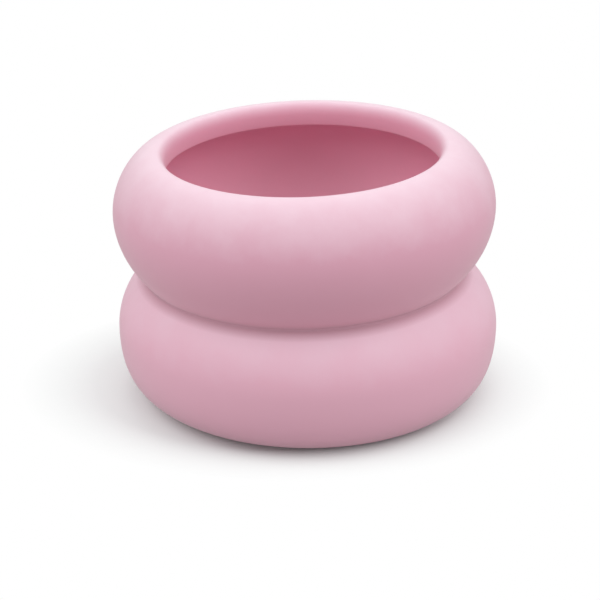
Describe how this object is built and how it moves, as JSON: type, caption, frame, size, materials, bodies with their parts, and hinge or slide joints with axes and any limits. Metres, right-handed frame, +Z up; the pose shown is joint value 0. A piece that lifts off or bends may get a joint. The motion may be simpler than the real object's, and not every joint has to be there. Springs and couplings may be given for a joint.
{
  "type": "donut vase",
  "caption": "Matte pink ceramic flower vessel built of stacked swollen rings luted at a narrow waist, with a wide mouth, a thick rounded lip and a slightly leaning upper ring.",
  "frame": {"origin": "on the table under the axis of the lower ring, in the middle of the foot pads", "axes": "+Z points up through the mouth, +X to the side on which the upper ring sits higher, which is right in the picture, and +Y away from the picture's camera"},
  "size_m": [0.1608, 0.16, 0.1086],
  "materials": {
    "stoneware": "smooth matte pink glaze",
    "joining_slip": "matte fired slip of the same pink",
    "felt": "pressed wool felt"
  },
  "bodies": {
    "root": {"lower_ring": "stoneware", "upper_ring": "stoneware", "waist_seam": "joining_slip", "floor_slab": "stoneware", "floor_seam": "joining_slip", "foot_pad_1": "felt", "foot_pad_2": "felt", "foot_pad_3": "felt", "foot_pad_4": "felt"}
  },
  "joints": []
}
